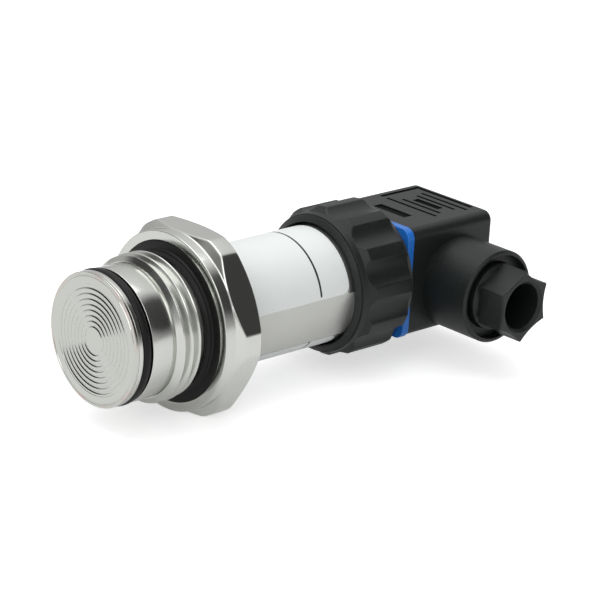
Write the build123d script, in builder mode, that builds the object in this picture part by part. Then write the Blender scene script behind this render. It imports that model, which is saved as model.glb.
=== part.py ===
"""Flush-diaphragm pressure transmitter with a right-angle plug.

The axis lies along X: the diaphragm faces -X, the plug is at +X, and the cable leaves towards -Y.
The origin is the centre of the diaphragm's front face.  All sizes are in millimetres.
"""

from build123d import *
from math import cos, floor, radians, sin, tan
import os

# Process thread: parallel pipe thread of one inch
thread_r = 16.62
thread_pitch = 2.309
thread_depth = 1.479
thread_half_angle = 27.5
thread_land = 0.45
thread_length = 6.3
thread_bevel = 1.3
thread_relief = 3.2
thread_neck_step = 0.541
groove_over = 0.3

# Nose in front of the thread
nose_step = 0.141
nose_length = 10.1
undercut_width = 0.6
undercut_depth = 0.45

# Diaphragm: a corrugated foil closed by a weld ring
weld_ring_width = 2.6
weld_ring_thick = 0.7
weld_ring_edge = 0.3
foil_inset = 0.10
foil_thick = 0.20
foil_rim = 0.75
foil_flat_r = 2.6
groove_pitch = 1.21
groove_width = 0.75
groove_depth = 0.17

# Nose seal: an O-ring in a turned groove
nose_seal_from_face = 3.15
nose_seal_section_r = 1.25
nose_seal_side_room = 0.1
nose_seal_proud = 0.2
nose_seal_clear = 0.03

# Profile seal under the hexagon
seal_width = 3.54
seal_groove_depth = 1.4
seal_lip_height = 1.3
seal_lip_width = 0.6
seal_clear = 0.05

# Hexagon: it comes out at 41 across flats
sealing_land = 2.16
collar_inset = 0.15
collar_edge = 0.35
collar_length = 2.6
hex_front_bevel = 2.0
hex_rear_bevel = 1.95
hex_chamfer_slope = 0.6
hex_land = 4.39

# Case: a steel tube with two spanner flats
case_r = 13.7
case_wall = 2.1
case_length = 36.94
case_thread_step = 0.5
case_thread_length = 5.5
case_flat_depth = 1.22
case_flat_turn = 196.0
case_flat_stop = 0.2
case_flat_corner = 3.0
spigot_length = 3.5
spigot_clear = 0.05
spigot_wall = 0.95

# Pressure cell inside the process connection
oil_gap = 0.3
oil_channel_r = 1.0
pocket_floor = 12.0
pocket_clear = 0.1
pocket_depth = 10.0
header_r = 8.1
header_thick = 4.0
header_recess_wall = 2.9
header_recess_depth = 1.4
header_gap = 1.0
chip_side = 3.2
chip_thick = 1.0
spacer_clear = 0.1
spacer_window_clear = 0.3
spacer_thick = 1.3
pin_count = 8
pin_r = 0.25
pin_circle_inset = 1.6
pin_proud = 0.5
pin_hole_clear = 0.1
glass_r = 0.75
header_ring_wall = 1.1
header_ring_thick = 2.5
fill_ball_r = 0.8
fill_port_inset = 2.1

# Electronics
adapter_clear = 0.2
adapter_thick = 1.2
board_thick = 1.6
board_lip = 2.0
board_neck_gap = 2.9
board_tongue_width = 12.0
board_blade_gap = 1.0
board_slot_depth = 1.6
board_slot_clear = 0.05
holder_thick = 3.0
holder_ring = 3.0
holder_clear = 0.1
# Name, place along the board from its wide end, place up, length, width and height
chips = (
    ("amplifier", 9.9, 2.0, 9.0, 6.0, 1.6),
    ("regulator", 21.9, -3.0, 5.0, 5.0, 1.2),
    ("memory", -4.6, 0.0, 5.0, 6.0, 1.4),
)
capacitor_r = 2.5
capacitor_height = 5.5
capacitor_places = ((10.9, 4.0), (18.9, -3.0))

# Label film on the case
label_thick = 0.12
label_front_gap = 1.64
label_rear_gap = 0.8

# Connector base with its contacts
base_spigot_length = 4.5
base_spigot_clear = 0.1
base_collar_step = 0.6
base_collar_thick = 1.4
base_neck_step = 0.6
base_plate_inset = 1.5
base_plate_thick = 1.2
base_gap = 0.3
island_margin = 2.0
island_height = 1.2
base_seal_section_r = 0.7
base_seal_inset = 1.9
base_seal_squeeze = 0.1
clamp_ring_step = 0.5
clamp_ring_thick = 1.2
clamp_ring_opening = 30.0
clamp_ring_clear = 0.05
blade_width = 6.3
blade_thick = 0.8
blade_inset = 2.5
blade_inner_reach = 1.9
blade_outer_reach = 8.5
blade_tip_bevel = 0.24
earth_blade_width = 4.8
bush_wall = 0.78
bush_length = 5.5
bush_clear = 0.07

# Union nut
nut_front_overlap = 3.2
nut_case_clear = 0.3
nut_thread_clear = 0.08
nut_rim_step = 2.2
nut_rim_width = 0.6
nut_throat_depth = 1.9
nut_step_length = 0.6
nut_step_height = 0.4
nut_bevel_length = 2.9
nut_bevel_height = 1.2
nut_flange_thick = 3.9
nut_lobes = 12
nut_valley_depth = 0.95
nut_valley_r = 6.0
nut_valley_turn = 9.0
nut_edge = 0.5

# Blue flat gasket
gasket_side_rim = 2.7
gasket_top_rim = 2.4
gasket_corner = 2.6
gasket_thick = 2.0
gasket_window_clear = 0.2

# Right-angle plug housing
plug_length = 26.1
plug_side_inset = 0.2
plug_top_inset = 0.3
plug_corner = 2.4
plug_rear_edge = 1.2
plug_wall = 1.6
column_wall = 0.8
inner_corner = 1.0

# Cable boss of the housing
boss_drop = 2.0
boss_rear_inset = 0.1
boss_length = 13.7
boss_edge = 0.5
boss_wall = 3.0
mouth_wall = 1.0
mouth_depth = 2.2
gland_floor_thick = 1.3
cable_hole_ledge = 1.9

# Sunk marks on top of the housing: kind, place from the plug's front, place across, length and width
mark_depth = 0.35
mark_line = 0.55
marks = (
    ("field", 6.15, 0.2, 2.7, 10.4),
    ("frame side", 18.25, 9.8, 11.5, mark_line),
    ("frame end", 23.9, 0.0, mark_line, 16.7),
    ("row", 11.9, -0.25, mark_line, 16.5),
    ("row", 14.4, -1.0, mark_line, 12.6),
    ("wide row", 16.8, -0.8, 1.5, 8.0),
    ("row", 19.2, -1.0, mark_line, 12.6),
    ("row", 21.5, -1.55, mark_line, 15.1),
)

# Terminal insert, clips and their screws
insert_clear = 0.15
insert_cover = 0.6
clip_height = 3.4
clip_side_margin = 0.55
clip_front_wall = 1.3
clip_thread_length = 1.6
clip_end_room = 0.6
clip_slot_clear = 0.15
clip_slot_side_clear = 0.25
clip_pocket_clear = 0.1
blade_window_clear = 0.3
terminal_head_clear = 0.05
terminal_thread_step = 0.4
terminal_head_height = 1.8
terminal_slot_width = 0.6
terminal_slot_depth = 0.9

# Fixing screw with its washer
screw_r = 1.45
screw_hole_clear = 0.3
screw_head_r = 2.9
screw_head_height = 2.4
screw_seat_clear = 0.5
screw_seat_depth = 4.0
screw_slot_width = 0.8
screw_slot_depth = 1.2
screw_bush_rest = 1.2
screw_tip_bevel = 0.4
screw_washer_thick = 0.8
screw_washer_clear = 0.3

# Cable gland
grommet_clear = 0.1
grommet_bore_r = 4.2
grommet_length = 4.2
washer_clear = 0.2
washer_bore_step = 0.5
washer_thick = 1.0
gland_gap = 0.1
gland_thread_clear = 0.1
gland_head_sink = 0.9
gland_wall = 2.5
gland_tips = 6
gland_tip_clear = 0.6
gland_tip_turn = 30.0
gland_waist_depth = 1.9
gland_waist_round = 1.6
gland_head_length = 8.3
gland_bore_bevel = 0.6

# Radii and widths that follow from the sizes above
thread_root_r = thread_r - thread_depth
thread_neck_r = thread_root_r - thread_neck_step
nose_r = thread_root_r - nose_step
foil_r = nose_r - weld_ring_width
groove_last_r = foil_r - foil_rim
groove_count = 1 + floor((groove_last_r - foil_flat_r) / groove_pitch)
nose_seal_ring_r = nose_r + nose_seal_proud - nose_seal_section_r
nose_seal_floor_r = nose_seal_ring_r - nose_seal_section_r - nose_seal_clear
seal_outer_r = thread_neck_r + seal_width
collar_r = seal_outer_r + seal_clear + sealing_land
hex_flats = 2 * (collar_r + collar_inset)
hex_turned_r = collar_r + hex_front_bevel
hex_rear_r = hex_turned_r - hex_rear_bevel
case_inner_r = case_r - case_wall
case_flat = case_r - case_flat_depth
case_thread_r = case_r - case_thread_step
spigot_r = case_inner_r - spigot_clear
rear_bore_r = spigot_r - spigot_wall
pocket_r = header_r + pocket_clear
pin_circle_r = header_r - header_recess_wall - pin_circle_inset
board_width = 2 * (case_inner_r - holder_clear - board_lip)
base_spigot_r = case_inner_r - base_spigot_clear
base_collar_r = case_thread_r - base_collar_step
base_neck_r = base_collar_r - base_neck_step
clamp_ring_r = base_collar_r + clamp_ring_step
blade_offset = base_spigot_r - blade_inset
island_side = 2 * (blade_offset + island_margin)
nut_bore_r = case_r + nut_case_clear
nut_thread_r = case_thread_r + nut_thread_clear
nut_rim_r = case_r + nut_rim_step
nut_face_r = nut_rim_r + nut_step_height
nut_r = nut_face_r + nut_bevel_height
base_plate_r = nut_r - base_plate_inset
gasket_width = island_side + 2 * gasket_side_rim
gasket_height = island_side + 2 * gasket_top_rim
plug_width = gasket_width - 2 * plug_side_inset
plug_height = gasket_height - 2 * plug_top_inset
boss_r = plug_height / 2 - boss_drop
screw_hole_r = screw_r + screw_hole_clear
screw_seat_r = screw_head_r + screw_seat_clear
bush_r = screw_r + bush_clear + bush_wall
clip_width = blade_width + 2 * clip_side_margin
gland_bore_r = boss_r - boss_wall
gland_shank_r = gland_bore_r - gland_thread_clear
cable_bore_r = gland_shank_r - gland_wall
washer_bore_r = cable_bore_r + washer_bore_step
mouth_r = boss_r - mouth_wall
gland_tip_r = mouth_r - gland_tip_clear

# Places along the axis that follow from the sizes above
thread_start = nose_length + undercut_width
thread_end = thread_start + thread_length
sealing_face = thread_end + thread_relief
seal_floor = sealing_face + seal_groove_depth
collar_end = sealing_face + collar_length
hex_corner_front = collar_end + hex_chamfer_slope * hex_front_bevel
hex_corner_rear = hex_corner_front + hex_land
hex_rear = hex_corner_rear + hex_chamfer_slope * hex_rear_bevel
spigot_end = hex_rear + spigot_length
pocket_end = pocket_floor + pocket_depth
header_front = pocket_floor + header_gap
header_back = header_front + header_thick
cell_floor = header_front + header_recess_depth
adapter_end = pocket_end + adapter_thick
pin_start = cell_floor - pin_r
pin_end = adapter_end + pin_proud
case_full_end = hex_rear + case_length
case_end = case_full_end + case_thread_length
spigot_front = case_end - base_spigot_length
blade_inner = spigot_front - blade_inner_reach
board_wide_end = blade_inner - board_blade_gap
board_end = spigot_front + board_slot_depth
base_neck_start = case_end + base_collar_thick
nut_front = case_full_end - nut_front_overlap
nut_shoulder = base_neck_start + clamp_ring_thick + base_gap
nut_rear = nut_shoulder + nut_flange_thick
plate_front = nut_rear + base_gap
plate_rear = plate_front + base_plate_thick
island_rear = plate_rear + island_height
bush_start = island_rear - bush_length
blade_tip = island_rear + blade_outer_reach
plug_front = plate_rear + gasket_thick
plug_rear = plug_front + plug_length
cavity_end = plug_rear - plug_wall
clip_start = plug_front + clip_front_wall
clip_slot_end = blade_tip + clip_end_room
clip_end = clip_slot_end + clip_thread_length
insert_length = clip_end + insert_cover - plug_front
label_start = hex_rear + label_front_gap
label_end = nut_front - label_rear_gap

# Places across the plug, towards -Y
boss_x = plug_rear - boss_r - boss_rear_inset
boss_z = -boss_drop
boss_face = plug_width / 2 + boss_length
boss_depth = boss_length + plug_wall
gland_floor = plug_width / 2 + gland_floor_thick
washer_start = gland_floor + grommet_length
shank_start = washer_start + washer_thick + gland_gap
head_start = boss_face - gland_head_sink
head_end = head_start + gland_head_length

os.makedirs("parts", exist_ok=True)


def save(name, label):
    """Label a finished piece and write it to its own STEP file."""
    name.part.label = label
    export_step(name.part, f"parts/{label}.step")


def disc(start, length, outer, inner=0.0):
    """A disc or ring round the main axis."""
    with BuildPart() as result:
        with BuildSketch(Plane.YZ.offset(start)):
            Circle(outer)
            if inner > 0:
                Circle(inner, mode=Mode.SUBTRACT)
        extrude(amount=length)
    return result


def gland_ring(start, length, outer, inner):
    """A ring round the cable's axis, growing towards the cable's way out."""
    with BuildPart() as result:
        with BuildSketch(Plane.XZ.offset(start)):
            with Locations((boss_x, boss_z)):
                Circle(outer)
                Circle(inner, mode=Mode.SUBTRACT)
        extrude(amount=length)
    return result


# Process connection: nose, thread blank, seal groove and hexagon turned from one bar
seal_cut = nose_seal_section_r + nose_seal_side_room
seal_cut_front = nose_seal_from_face - seal_cut
seal_cut_rear = nose_seal_from_face + seal_cut
bevel_run = thread_bevel * tan(radians(30))
with BuildPart() as connection_blank:
    with BuildSketch(Plane.XY):
        with BuildLine():
            Polyline(
                (weld_ring_thick + oil_gap, oil_channel_r),
                (weld_ring_thick + oil_gap, foil_r),
                (weld_ring_thick, foil_r),
                (weld_ring_thick, nose_r),
                (seal_cut_front, nose_r),
                (seal_cut_front, nose_seal_floor_r),
                (seal_cut_rear, nose_seal_floor_r),
                (seal_cut_rear, nose_r),
                (nose_length, nose_r),
                (nose_length, nose_r - undercut_depth),
                (thread_start, nose_r - undercut_depth),
                (thread_start, thread_r - thread_bevel),
                (thread_start + bevel_run, thread_r),
                (thread_end - bevel_run, thread_r),
                (thread_end, thread_r - thread_bevel),
                (thread_end, thread_neck_r),
                (seal_floor, thread_neck_r),
                (seal_floor, seal_outer_r + seal_clear),
                (sealing_face, seal_outer_r + seal_clear),
                (sealing_face, collar_r - collar_edge),
                (sealing_face + collar_edge, collar_r),
                (collar_end, collar_r),
                (hex_corner_front, hex_turned_r),
                (hex_corner_rear, hex_turned_r),
                (hex_rear, hex_rear_r),
                (hex_rear, spigot_r),
                (spigot_end, spigot_r),
                (spigot_end, rear_bore_r),
                (pocket_end, rear_bore_r),
                (pocket_end, pocket_r),
                (pocket_floor, pocket_r),
                (pocket_floor, oil_channel_r),
                close=True,
            )
        make_face()
    revolve(axis=Axis.X)
    with BuildSketch(Plane.YZ.offset(collar_end)):
        Circle(2 * hex_turned_r)
        RegularPolygon(radius=hex_flats / 2, side_count=6, major_radius=False, mode=Mode.SUBTRACT)
    extrude(amount=hex_rear - collar_end, mode=Mode.SUBTRACT)

# The thread groove is a V swept along a helix, open at both ends
flank_slope = tan(radians(thread_half_angle))
root_half = (thread_pitch - thread_land) / 2 - thread_depth * flank_slope
mouth_half = (thread_pitch - thread_land) / 2 + groove_over * flank_slope
with BuildPart() as thread_groove:
    with BuildLine() as thread_path:
        Helix(
            pitch=thread_pitch,
            height=thread_length + thread_pitch,
            radius=thread_r,
            center=(thread_start - thread_pitch / 2, 0, 0),
            direction=(1, 0, 0),
        )
    groove_plane = Plane(origin=thread_path.line @ 0, x_dir=(1, 0, 0), z_dir=thread_path.line % 0)
    with BuildSketch(groove_plane):
        with BuildLine():
            Polyline(
                (-mouth_half, groove_over),
                (-root_half, -thread_depth),
                (root_half, -thread_depth),
                (mouth_half, groove_over),
                close=True,
            )
        make_face()
    sweep(path=thread_path.line, is_frenet=True)
with BuildPart() as process_connection:
    add(connection_blank.part)
    add(thread_groove.part, mode=Mode.SUBTRACT)
save(process_connection, "process_connection")

# Flush diaphragm: concentric grooves pressed into a foil, closed by the weld ring
foil_back = foil_inset + foil_thick
with BuildPart() as flush_diaphragm:
    with BuildSketch(Plane.XY):
        with BuildLine():
            for side in (foil_inset, foil_back):
                reached = 0.0
                for index in reversed(range(groove_count)):
                    middle = groove_last_r - index * groove_pitch
                    inner_edge = middle - groove_width / 2
                    outer_edge = middle + groove_width / 2
                    Line((side, reached), (side, inner_edge))
                    ThreePointArc((side, inner_edge), (side + groove_depth, middle), (side, outer_edge))
                    reached = outer_edge
                Line((side, reached), (side, foil_r))
            Line((foil_inset, 0), (foil_back, 0))
            Polyline(
                (foil_inset, foil_r),
                (0, foil_r + foil_inset),
                (0, nose_r - weld_ring_edge),
                (weld_ring_edge, nose_r),
                (weld_ring_thick, nose_r),
                (weld_ring_thick, foil_r),
                (foil_back, foil_r),
            )
        make_face()
    revolve(axis=Axis.X)
save(flush_diaphragm, "flush_diaphragm")

with BuildPart() as nose_o_ring:
    with BuildSketch(Plane.XY):
        with Locations((nose_seal_from_face, nose_seal_ring_r)):
            Circle(nose_seal_section_r)
    revolve(axis=Axis.X)
save(nose_o_ring, "nose_o_ring")

# Profile seal: a ring in the face groove, with a lip towards the thread
with BuildPart() as profile_seal:
    with BuildSketch(Plane.XY):
        with BuildLine():
            Polyline(
                (seal_floor - seal_clear, thread_neck_r + seal_clear),
                (sealing_face - seal_lip_height, thread_neck_r + seal_clear),
                (sealing_face - seal_lip_height, thread_neck_r + seal_lip_width),
                (sealing_face - seal_clear, seal_outer_r),
                (seal_floor - seal_clear, seal_outer_r),
                close=True,
            )
        make_face()
    revolve(axis=Axis.X)
save(profile_seal, "profile_seal")

# Pressure cell: header with glass-sealed pins, chip, spacer, filling ball and weld ring
recess_r = header_r - header_recess_wall
fill_port_r = header_r - fill_port_inset
with BuildPart() as sensor_header:
    with BuildSketch(Plane.YZ.offset(header_front)):
        Circle(header_r)
    extrude(amount=header_thick)
    with BuildSketch(Plane.YZ.offset(header_front)):
        Circle(recess_r)
    extrude(amount=header_recess_depth, mode=Mode.SUBTRACT)
    with BuildSketch(Plane.YZ.offset(header_front)):
        with PolarLocations(pin_circle_r, pin_count):
            Circle(glass_r)
    extrude(amount=header_thick, mode=Mode.SUBTRACT)
    with BuildSketch(Plane.YZ.offset(header_back)):
        with Locations((0, fill_port_r)):
            Circle(fill_ball_r)
    extrude(amount=-2 * fill_ball_r, mode=Mode.SUBTRACT)
save(sensor_header, "sensor_header")

with BuildPart() as sensor_chip:
    with BuildSketch(Plane.YZ.offset(cell_floor)):
        Rectangle(chip_side, chip_side)
    extrude(amount=-chip_thick)
save(sensor_chip, "sensor_chip")

window = chip_side + 2 * spacer_window_clear
with BuildPart() as ceramic_spacer:
    with BuildSketch(Plane.YZ.offset(cell_floor)):
        Circle(recess_r - spacer_clear)
        Rectangle(window, window, mode=Mode.SUBTRACT)
        with PolarLocations(pin_circle_r, pin_count):
            Circle(glass_r + seal_clear, mode=Mode.SUBTRACT)
    extrude(amount=-spacer_thick)
save(ceramic_spacer, "ceramic_spacer")

with BuildPart() as glass_seals:
    with BuildSketch(Plane.YZ.offset(cell_floor)):
        with PolarLocations(pin_circle_r, pin_count):
            Circle(glass_r)
            Circle(pin_r, mode=Mode.SUBTRACT)
    extrude(amount=header_back - cell_floor)
save(glass_seals, "glass_seals")

with BuildPart() as header_pins:
    with BuildSketch(Plane.YZ.offset(pin_start)):
        with PolarLocations(pin_circle_r, pin_count):
            Circle(pin_r)
    extrude(amount=pin_end - pin_start)
save(header_pins, "header_pins")

with BuildPart() as fill_ball:
    with Locations((header_back - fill_ball_r, 0, fill_port_r)):
        Sphere(fill_ball_r - seal_clear)
save(fill_ball, "fill_ball")

header_ring = disc(header_back, header_ring_thick, pocket_r - seal_clear, header_r - header_ring_wall)
save(header_ring, "header_ring")

# Case tube: full diameter, then the neck that carries the union nut's thread, with two milled flats
flat_length = case_full_end - case_flat_stop - hex_rear + 2 * case_flat_corner
flat_middle = case_full_end - case_flat_stop - flat_length / 2
with BuildPart() as case_tube:
    with BuildSketch(Plane.XY):
        with BuildLine():
            Polyline(
                (hex_rear, case_inner_r),
                (hex_rear, case_r),
                (case_full_end, case_r),
                (case_full_end, case_thread_r),
                (case_end, case_thread_r),
                (case_end, case_inner_r),
                close=True,
            )
        make_face()
    revolve(axis=Axis.X)
    for turn in (case_flat_turn, case_flat_turn - 180):
        outward = Vector(0, cos(radians(turn)), sin(radians(turn)))
        middle = Vector(flat_middle, 0, 0) + outward * case_flat
        with BuildSketch(Plane(origin=middle, x_dir=(1, 0, 0), z_dir=outward)):
            RectangleRounded(flat_length, 2 * case_r, case_flat_corner)
        extrude(amount=case_r, mode=Mode.SUBTRACT)
save(case_tube, "case_tube")

# Label film: it follows the tube and its far flat, and ends at both edges of the near flat
far_side = Rot(0, 0, case_flat_turn - 180) * Pos(case_flat + label_thick + case_r / 2, 0, 0)
near_side = Rot(0, 0, case_flat_turn) * Pos(case_flat + case_r / 2, 0, 0)
with BuildPart() as case_label:
    with BuildSketch(Plane.YZ.offset(label_start)):
        Circle(case_r + label_thick)
        Circle(case_inner_r + spigot_clear, mode=Mode.SUBTRACT)
        with Locations(far_side, near_side):
            Rectangle(case_r, 2 * case_r, mode=Mode.SUBTRACT)
    extrude(amount=label_end - label_start)
    add(case_tube.part, mode=Mode.SUBTRACT)
save(case_label, "case_label")

# Electronics: a round adapter board on the header pins, and the main board behind it
with BuildPart() as adapter_board:
    with BuildSketch(Plane.YZ.offset(pocket_end)):
        Circle(rear_bore_r - adapter_clear)
        with PolarLocations(pin_circle_r, pin_count):
            Circle(pin_r + pin_hole_clear, mode=Mode.SUBTRACT)
    extrude(amount=adapter_thick)
save(adapter_board, "adapter_board")

board_neck_width = 2 * (rear_bore_r - board_neck_gap)
with BuildPart() as circuit_board:
    with BuildSketch(Plane.YZ.offset(pin_end)):
        Rectangle(board_thick, board_neck_width)
    extrude(amount=spigot_end - pin_end)
    with BuildSketch(Plane.YZ.offset(spigot_end)):
        Rectangle(board_thick, board_width)
    extrude(amount=board_wide_end - spigot_end)
    with BuildSketch(Plane.YZ.offset(board_wide_end)):
        Rectangle(board_thick, board_tongue_width)
    extrude(amount=board_end - board_wide_end)
save(circuit_board, "circuit_board")

holder_r = case_inner_r - holder_clear
with BuildPart() as board_holder:
    with BuildSketch(Plane.YZ.offset(spigot_end)):
        Circle(holder_r)
        Circle(holder_r - holder_ring, mode=Mode.SUBTRACT)
        Rectangle(board_thick + 2 * holder_clear, board_width + 2 * holder_clear, mode=Mode.SUBTRACT)
    extrude(amount=holder_thick)
save(board_holder, "board_holder")

with BuildPart() as board_chips:
    for name, along, up, length, width, height in chips:
        with BuildSketch(Plane.XZ.offset(board_thick / 2)):
            with Locations((spigot_end + along, up)):
                Rectangle(length, width)
        extrude(amount=height)
save(board_chips, "board_chips")

with BuildPart() as board_capacitors:
    with BuildSketch(Plane.XZ.offset(-board_thick / 2)):
        for along, up in capacitor_places:
            with Locations((spigot_end + along, up)):
                Circle(capacitor_r)
    extrude(amount=-capacitor_height)
save(board_capacitors, "board_capacitors")

# Connector base: spigot in the case, collar, neck, plate and island, with slots for the contacts
groove_floor_r = case_inner_r - 2 * base_seal_section_r + base_seal_squeeze
seal_middle = case_end - base_seal_inset
seal_half = base_seal_section_r + seal_clear
with BuildPart() as connector_base:
    with BuildSketch(Plane.XY):
        with BuildLine():
            Polyline(
                (spigot_front, 0),
                (spigot_front, base_spigot_r),
                (seal_middle - seal_half, base_spigot_r),
                (seal_middle - seal_half, groove_floor_r),
                (seal_middle + seal_half, groove_floor_r),
                (seal_middle + seal_half, base_spigot_r),
                (case_end, base_spigot_r),
                (case_end, base_collar_r),
                (base_neck_start, base_collar_r),
                (base_neck_start, base_neck_r),
                (plate_front, base_neck_r),
                (plate_front, base_plate_r),
                (plate_rear, base_plate_r),
                (plate_rear, 0),
                close=True,
            )
        make_face()
    revolve(axis=Axis.X)
    with BuildSketch(Plane.YZ.offset(plate_rear)):
        RectangleRounded(island_side, island_side, inner_corner)
    extrude(amount=island_height)
    with BuildSketch(Plane.YZ.offset(spigot_front)):
        with Locations((blade_offset, 0), (-blade_offset, 0)):
            Rectangle(blade_thick, blade_width)
        with Locations((0, blade_offset)):
            Rectangle(blade_width, blade_thick)
        with Locations((0, -blade_offset)):
            Rectangle(earth_blade_width, blade_thick)
    extrude(amount=island_rear - spigot_front, mode=Mode.SUBTRACT)
    with BuildSketch(Plane.YZ.offset(bush_start)):
        Circle(bush_r)
    extrude(amount=bush_length, mode=Mode.SUBTRACT)
    with BuildSketch(Plane.YZ.offset(spigot_front)):
        Rectangle(board_thick + 2 * board_slot_clear, board_tongue_width + 2 * board_slot_clear)
    extrude(amount=board_slot_depth, mode=Mode.SUBTRACT)
save(connector_base, "connector_base")

with BuildPart() as base_seal:
    with BuildSketch(Plane.XY):
        with Locations((seal_middle, case_inner_r - base_seal_section_r)):
            Circle(base_seal_section_r - base_seal_squeeze)
    revolve(axis=Axis.X)
save(base_seal, "base_seal")

# Split ring between the base's collar and the union nut's shoulder
opening_reach = 2 * clamp_ring_r
opening_half = opening_reach * tan(radians(clamp_ring_opening / 2))
with BuildPart() as clamp_ring:
    with BuildSketch(Plane.YZ.offset(base_neck_start)):
        Circle(clamp_ring_r)
        Circle(base_neck_r + clamp_ring_clear, mode=Mode.SUBTRACT)
        with BuildLine():
            Polyline((0, 0), (-opening_half, -opening_reach), (opening_half, -opening_reach), close=True)
        make_face(mode=Mode.SUBTRACT)
    extrude(amount=clamp_ring_thick)
save(clamp_ring, "clamp_ring")

with BuildPart() as contact_blades:
    with BuildSketch(Plane.YZ.offset(blade_inner)):
        with Locations((blade_offset, 0), (-blade_offset, 0)):
            Rectangle(blade_thick, blade_width)
        with Locations((0, blade_offset)):
            Rectangle(blade_width, blade_thick)
    extrude(amount=blade_tip - blade_inner)
    chamfer(contact_blades.faces().group_by(Axis.X)[-1].edges(), length=blade_tip_bevel)
save(contact_blades, "contact_blades")

with BuildPart() as earth_blade:
    with BuildSketch(Plane.YZ.offset(blade_inner)):
        with Locations((0, -blade_offset)):
            Rectangle(earth_blade_width, blade_thick)
    extrude(amount=blade_tip - blade_inner)
    chamfer(earth_blade.faces().group_by(Axis.X)[-1].edges(), length=blade_tip_bevel)
save(earth_blade, "earth_blade")

screw_bush = disc(bush_start, bush_length, bush_r, screw_r + bush_clear)
save(screw_bush, "screw_bush")

# Blue gasket round the island
window_side = island_side + 2 * gasket_window_clear
with BuildPart() as base_gasket:
    with BuildSketch(Plane.YZ.offset(plate_rear)):
        RectangleRounded(gasket_width, gasket_height, gasket_corner)
        RectangleRounded(window_side, window_side, inner_corner, mode=Mode.SUBTRACT)
    extrude(amount=gasket_thick)
save(base_gasket, "base_gasket")

# Union nut: a bevelled ring whose outside is scalloped into lobes
nut_bevel_start = nut_front + nut_step_length
nut_neck_end = case_full_end + nut_case_clear
shoulder_r = (base_collar_r + clamp_ring_r) / 2
valley_centre = nut_r - nut_valley_depth + nut_valley_r
with BuildPart() as union_nut:
    with BuildSketch(Plane.XY):
        with BuildLine():
            Polyline(
                (nut_front + nut_throat_depth, nut_bore_r),
                (nut_front, nut_rim_r - nut_rim_width),
                (nut_front, nut_rim_r),
                (nut_bevel_start, nut_rim_r),
                (nut_bevel_start, nut_face_r),
                (nut_bevel_start + nut_bevel_length, nut_r),
                (nut_rear - nut_edge, nut_r),
                (nut_rear, nut_r - nut_edge),
                (nut_rear, shoulder_r),
                (nut_shoulder, shoulder_r),
                (nut_shoulder, nut_thread_r),
                (nut_neck_end, nut_thread_r),
                (nut_neck_end, nut_bore_r),
                close=True,
            )
        make_face()
    revolve(axis=Axis.X)
    with BuildSketch(Plane.YZ.offset(nut_front)):
        with PolarLocations(valley_centre, nut_lobes, start_angle=nut_valley_turn):
            Circle(nut_valley_r)
    extrude(amount=nut_rear - nut_front, mode=Mode.SUBTRACT)
save(union_nut, "union_nut")

# Plug housing: rounded box with a cable boss, a cavity, a screw column and sunk marks
insert_end = plug_front + insert_length
with BuildPart() as plug_housing:
    with BuildSketch(Plane.YZ.offset(plug_front)):
        RectangleRounded(plug_width, plug_height, plug_corner)
    extrude(amount=plug_length)
    fillet(plug_housing.faces().sort_by(Axis.X)[-1].edges(), radius=plug_rear_edge)
    with BuildSketch(Plane.XZ.offset(boss_face)):
        with Locations((boss_x, boss_z)):
            Circle(boss_r)
    extrude(amount=-boss_depth)
    chamfer(plug_housing.faces().sort_by(Axis.Y)[0].edges(), length=boss_edge)
    with BuildSketch(Plane.YZ.offset(plug_front)):
        RectangleRounded(plug_width - 2 * plug_wall, plug_height - 2 * plug_wall, inner_corner)
    extrude(amount=cavity_end - plug_front, mode=Mode.SUBTRACT)
    with BuildSketch(Plane.YZ.offset(insert_end)):
        Circle(screw_seat_r + column_wall)
    extrude(amount=cavity_end - insert_end)
    with BuildSketch(Plane.YZ.offset(plug_front)):
        Circle(screw_hole_r)
    extrude(amount=plug_length, mode=Mode.SUBTRACT)
    with BuildSketch(Plane.YZ.offset(plug_rear)):
        Circle(screw_seat_r)
    extrude(amount=-screw_seat_depth, mode=Mode.SUBTRACT)
    with BuildSketch(Plane.XZ.offset(boss_face)):
        with Locations((boss_x, boss_z)):
            Circle(gland_bore_r)
    extrude(amount=gland_floor - boss_face, mode=Mode.SUBTRACT)
    with BuildSketch(Plane.XZ.offset(boss_face)):
        with Locations((boss_x, boss_z)):
            Circle(mouth_r)
    extrude(amount=-mouth_depth, mode=Mode.SUBTRACT)
    with BuildSketch(Plane.XZ.offset(boss_face)):
        with Locations((boss_x, boss_z)):
            Circle(gland_bore_r - cable_hole_ledge)
    extrude(amount=-boss_depth, mode=Mode.SUBTRACT)
    with BuildSketch(Plane.XY.offset(plug_height / 2)):
        for name, along, across, length, width in marks:
            with Locations((plug_front + along, across)):
                Rectangle(length, width)
    extrude(amount=-mark_depth, mode=Mode.SUBTRACT)
save(plug_housing, "plug_housing")

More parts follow.
